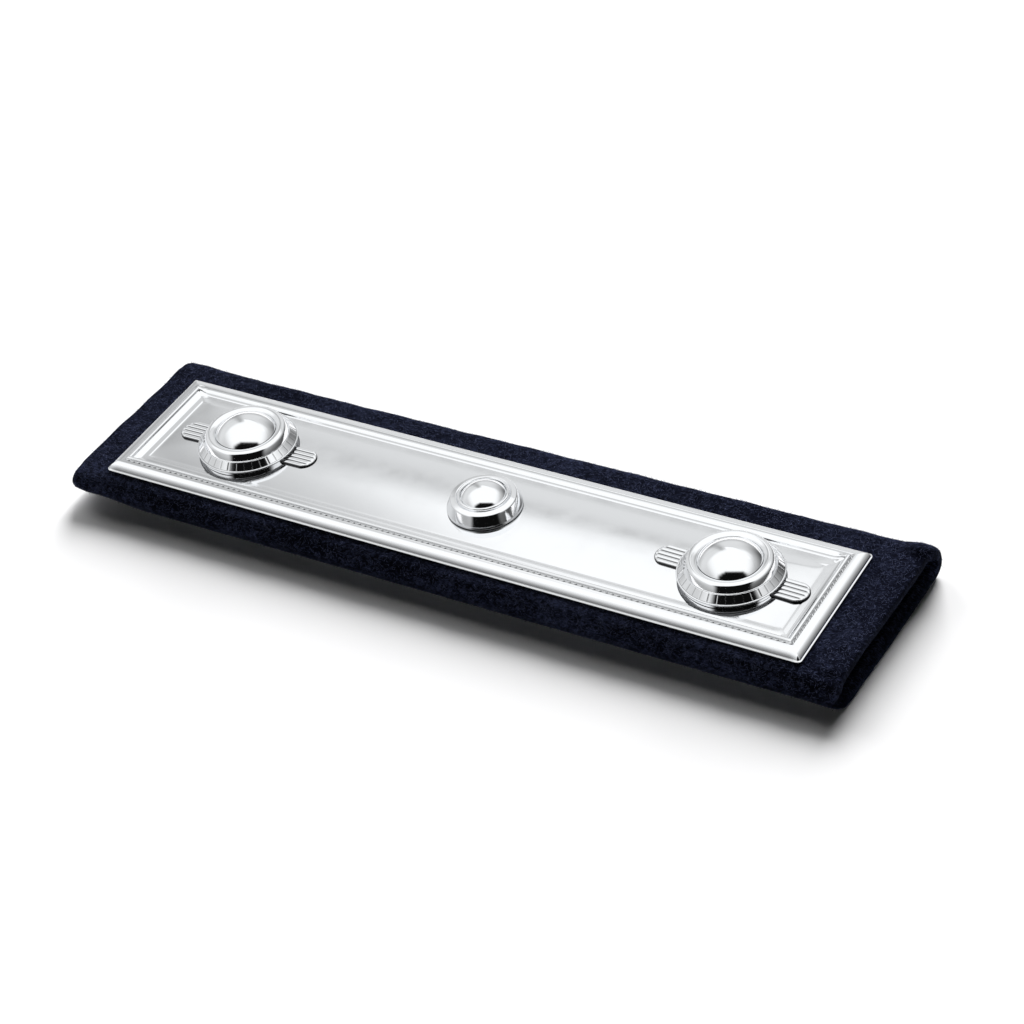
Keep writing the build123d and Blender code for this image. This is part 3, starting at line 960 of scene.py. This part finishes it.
sleeveSettings = {
    "length": 129.9,
    "width": 33.1,
    "height": 4.6,
    "wall": 1.4,
    "slope": 1.6,  # how far a raised or flattened fold runs into the flat top
    "setback": 0.75,  # the upper layer ends this far short of the lower one
    "cornerLeft": 0.8,
    "cornerMouth": 0.8,
    "rim": 0.2,  # rounding of the cut edges along X
    "bevel": (1.1, 0.4, 1.0),  # at the mouth the lower layer's cut slopes back: how far, from which z, run
    "beforeFold": (12.5, 2.5),  # bevel and setback end at the back fold: from which y, run
    "endRun": 6.0,  # the cut edges' own lines fade out over this length
    "leftLift": (13.0, 1.5),  # pressed left end: length and how far its underside rises
    # how far the back fold stands out, by x, fading in with y: from which y, run
    "backEdge": ((-65.0, -0.35), (-45.0, -0.40), (-20.0, -0.25), (5.0, 0.0), (30.0, 0.10), (65.0, 0.25)),
    "backFade": (12.0, 3.0),
    # how far the cut edges run out along X, by y: at the left, the mouth's lower and upper layer
    "leftEdge": ((-16.5, 0.55), (-12.5, 0.55), (-5.3, 0.45), (2.0, 0.20), (9.0, 0.0), (16.5, 0.10)),
    "lowerEdge": (
        (-16.5, -0.45), (-12.9, -0.15), (-8.6, -0.03), (-0.8, 0.25), (5.5, 0.36), (12.6, 0.50),
        (14.5, 0.62), (16.5, 0.85),
    ),
    "upperEdge": (
        (-16.5, 0.25), (-13.3, -0.05), (-9.9, -0.10), (-5.5, 0.0), (-1.0, 0.21), (3.5, 0.39),
        (8.8, 0.57), (16.5, 0.65),
    ),
    "frontBulge": (-62.6, 2.4, 0.45),  # swelling of the front fold: middle along X, spread and reach
    "bulgeFade": (13.0, 2.0),  # from which distance to the front, run
    # waves of the cloth: radians per mm along X and along Y, start, share
    "waves": ((0.71, 0.9, 0.0, 1.0), (0.33, -0.7, 1.3, 1.0), (1.37, 0.35, 4.0, 0.6)),
    "wave": (0.04, 0.01),  # how far they reach upwards, and outwards on the folds
    "waveFade": (1.5, 2.0),  # distance beyond the plate's long and short edges over which they come in
    # pressed flat: within this of the top, run; behind this y, run; on the back fold behind this y, run;
    # painted shade on the top and the back fold: within this of the top, run; behind this y, run; on the
    # back fold behind this y, run; and less deep than this in the wall
    "paintedShade": ((0.9, 0.8), (-14.5, 3.0), (13.0, 2.0), 0.3),
    # share of the length, front fold, back fold (heights, shares of the height), lift of the top in mm
    "rows": (
        (0.000, 0.93, 0.93, 0.00),
        (0.025, 1.00, 1.00, 0.00),
        (0.945, 1.00, 1.00, 0.00),
        (0.962, 0.97, 1.03, 0.06),
        (0.973, 0.94, 1.14, 0.18),
        (0.983, 0.92, 1.22, 0.30),
        (0.992, 0.96, 1.20, 0.34),
        (1.000, 1.03, 1.12, 0.34),
    ),
}


def makeSleeve(s):
    # a flattened tube with a thick wall. Rows go along the outside, round the cut edge at the mouth,
    # back along the inside and round the other cut edge, so the surface closes on itself. Each row's
    # section is a flat bottom, half a circle at the front, the top, and half a circle at the back,
    # all drawn in from the outside by the row's depth into the wall. Then the cut edges follow their
    # own lines, with the upper layer set back and the lower one's cut sloping, the left end's underside
    # rises, the back fold follows its line, the front fold swells as a bell curve of x, and a sum of
    # sine waves in x and y makes the cloth uneven, but not under the plate
    length, width, wall, rim = s["length"], s["width"], s["wall"], s["rim"]
    table = np.array(s["rows"])
    outside, inside = denserAtEnds(150, 0.35), np.linspace(1, 0, 60)
    turn = np.linspace(0, pi, 11)[1:-1]
    span, cutEnd = length / 2 - rim, rim * np.sin(turn)
    x = np.concatenate([(2 * outside - 1) * span, span + cutEnd, (2 * inside - 1) * span, -span - cutEnd])
    cutDepth = wall / 2 * (1 - np.cos(turn))
    depth = np.concatenate([0 * outside, cutDepth, 0 * inside + wall, wall - cutDepth])
    x, depth = x[:, None], depth[:, None]
    share = x[:, 0] / length + 0.5
    front, back, lift = (np.interp(share, table[:, 0], table[:, k])[:, None] for k in (1, 2, 3))
    frontRadius, backRadius = front * s["height"] / 2, back * s["height"] / 2

    def cornerPull(distance, radius):
        # how far a round corner is drawn in at this distance from the end
        return radius - np.sqrt(np.clip(radius ** 2 - np.clip(radius - distance, 0, radius) ** 2, 0, None))

    pull = cornerPull(x + length / 2, s["cornerLeft"]) + cornerPull(length / 2 - x, s["cornerMouth"])
    frontY = frontRadius - width / 2 + pull  # middle of the front fold
    backY = width / 2 - backRadius - pull

    flat = np.linspace(0, 1, 40)[:-1]
    arc = np.linspace(0, 1, 20)[:-1] * pi
    over = denserAtEnds(90, 0.3)[:-1]
    bottomY = backY + (frontY - backY) * flat
    bottomZ = depth + 0 * bottomY
    foldY = frontY - (frontRadius - depth) * np.sin(arc)
    foldZ = frontRadius - (frontRadius - depth) * np.cos(arc)
    topY = frontY + (backY - frontY) * over
    fromFront, toBack = softStep(topY, frontY, s["slope"]), softStep(topY, backY - s["slope"], s["slope"])
    top = s["height"] + lift
    topZ = 2 * frontRadius + fromFront * (top - 2 * frontRadius) + toBack * (2 * backRadius - top) - depth
    backFoldY = backY + (backRadius - depth) * np.sin(arc)
    backFoldZ = backRadius + (backRadius - depth) * np.cos(arc)
    y = np.concatenate([bottomY, foldY, topY, backFoldY], axis=1)
    z = np.concatenate([bottomZ, foldZ, topZ, backFoldZ], axis=1)

    # the cut edges; cut is 0 in the lower layer and 1 in the upper one
    endRun = s["endRun"]
    atMouth, atLeft = softStep(x, length / 2 - endRun, endRun), softStep(-x, length / 2 - endRun, endRun)
    cut = hardStep(z, wall, s["height"] - 2 * wall)
    lower, upper, left = (fromTable(s[name], y) for name in ("lowerEdge", "upperEdge", "leftEdge"))
    beforeFold = 1 - softStep(y, *s["beforeFold"])
    bevel, bevelFrom, bevelRun = s["bevel"]
    slope = bevel * softStep(z, bevelFrom, bevelRun) * (1 - cut) * beforeFold
    mouth = lower - slope + (upper - lower - s["setback"] * beforeFold) * cut
    x = x + mouth * atMouth - left * atLeft

    # the left end, the back fold and the front fold
    liftLength, leftLift = s["leftLift"]
    lifted = softStep(-x, length / 2 - liftLength, liftLength)
    z = z + leftLift * lifted * (1 - hardStep(z, 0, s["height"]))
    y = y + fromTable(s["backEdge"], x) * hardStep(y, *s["backFade"])
    bulgeAt, bulgeSpread, bulge = s["frontBulge"]
    y = y - bulge * np.exp(-((x - bulgeAt) / bulgeSpread) ** 2) * hardStep(-y, *s["bulgeFade"])

    # the waves
    (middleX, middleY), (longFade, endFade) = plateSettings["centre"], s["waveFade"]
    beyondPlate = softStep(np.abs(y - middleY), plateSettings["width"] / 2, longFade)
    beyondPlate = beyondPlate + softStep(np.abs(x - middleX), plateSettings["length"] / 2, endFade)
    waves = s["waves"]
    wave = sum(part * np.sin(x * alongX + y * alongY + start) for alongX, alongY, start, part in waves)
    upwards, outwards = s["wave"]
    z = z + upwards * wave * np.clip(beyondPlate, 0, 1) * softStep(z, 0, s["height"])
    y = y + outwards * wave * np.sin(pi * hardStep(z, 0, s["height"])) * np.sign(y)

    points = np.stack([x, y, z], -1)
    faces = gridFaces(*points.shape[:2], closeRows=True, closeColumns=True)
    # painted shade: the top behind the front fold and the back fold, on the outside of the wall
    (below, belowRun), behindFront, onBackFold, deepest = s["paintedShade"]
    paintedShade = softStep(z, s["height"] - below, belowRun) * softStep(y, *behindFront)
    paintedShade = np.maximum(paintedShade, softStep(y, *onBackFold)) * (depth < deepest)
    piece = addPiece("felt_sleeve", points, faces, felt, ("sleeve",), crease=75.0, tarnishAndShade=paintedShade)
    return piece, points[:len(outside)]


fibreSettings = {
    "count": 18000,
    "length": (0.30, 0.80),
    "width": 0.055,
    "tipWidth": 0.5,  # of the root's
    "lift": (-2.0, 22.0),  # degrees out of the surface
    "depth": 0.03,  # how far a fibre's root lies in the felt
    "lowest": (0.35, 0.02),  # cells below the first height carry none, and no point is below the second
    "middle": 2.3,  # height of the sleeve's middle, from which its folds face away
    "flatHalf": 14.3,  # half width of the flat top, where the way out is straight up
    "seed": 7,
}


def makeFibres(s, outside):
    # loose fibres: a cell of the sleeve's outside is drawn by its area, but none under the plate or near
    # the floor, a root at random shares across it, and a thin tapered strip leaves it along a random way
    # in the cell's plane, lifted a little
    random = np.random.default_rng(s["seed"])
    here = outside[:-1, :-1]
    along, across = outside[1:, :-1] - here, outside[:-1, 1:] - here
    normal = np.cross(across, along)
    area = np.linalg.norm(normal, axis=-1)
    plateHalf = (plateSettings["length"] / 2, plateSettings["width"] / 2)
    covered = (np.abs(here[..., :2] - plateSettings["centre"]) < plateHalf).all(-1)
    lowestRoot, lowestPoint = s["lowest"]
    share = np.where(covered | (here[..., 2] < lowestRoot), 0, area).ravel()
    cell = random.choice(share.size, s["count"], p=share / share.sum())
    here, along, across, normal = (value.reshape(-1, 3)[cell] for value in (here, along, across, normal))
    normal = normal / np.linalg.norm(normal, axis=1, keepdims=True)
    outwards = here - (0, 0, s["middle"])
    outwards[:, 1:2] *= np.abs(here[:, 1:2]) > s["flatHalf"]
    outwards[:, 0] = 0
    normal *= np.sign(np.einsum("ij,ij->i", normal, outwards))[:, None]
    one = (len(cell), 1)  # a column of numbers, one for each fibre
    root = here + along * random.random(one) + across * random.random(one) - normal * s["depth"]
    first = along / np.linalg.norm(along, axis=1, keepdims=True)
    second = np.cross(normal, first)
    turn = random.random(one) * 2 * pi
    way = first * np.cos(turn) + second * np.sin(turn)
    side = second * np.cos(turn) - first * np.sin(turn)
    lift = np.radians(random.uniform(*s["lift"], one))
    tip = root + (way * np.cos(lift) + normal * np.sin(lift)) * random.uniform(*s["length"], one)
    half = side * s["width"] / 2
    tipHalf = half * s["tipWidth"]
    points = np.stack([root - half, root + half, tip + tipHalf, tip - tipHalf], 1)
    points[..., 2] = np.maximum(points[..., 2], lowestPoint)  # none reaches under the floor
    faces = np.arange(len(points) * 4).reshape(-1, 4)
    mesh = bpy.data.meshes.new("felt_fibres")
    mesh.from_pydata((points.reshape(-1, 3) * mm).tolist(), [], faces.tolist())
    mesh.materials.append(fibreWool)
    fibres = newObject("felt_fibres", mesh)
    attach(fibres, "root")
    return fibres


sleeve, sleeveOutside = makeSleeve(sleeveSettings)
fibres = makeFibres(fibreSettings, sleeveOutside)
print("sleeve done")

for side in ("left", "middle", "right"):
    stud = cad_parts[f"stud_{side}"]
    stud.data.materials.clear()
    stud.data.materials.append(studMetal)

print("scene finished")
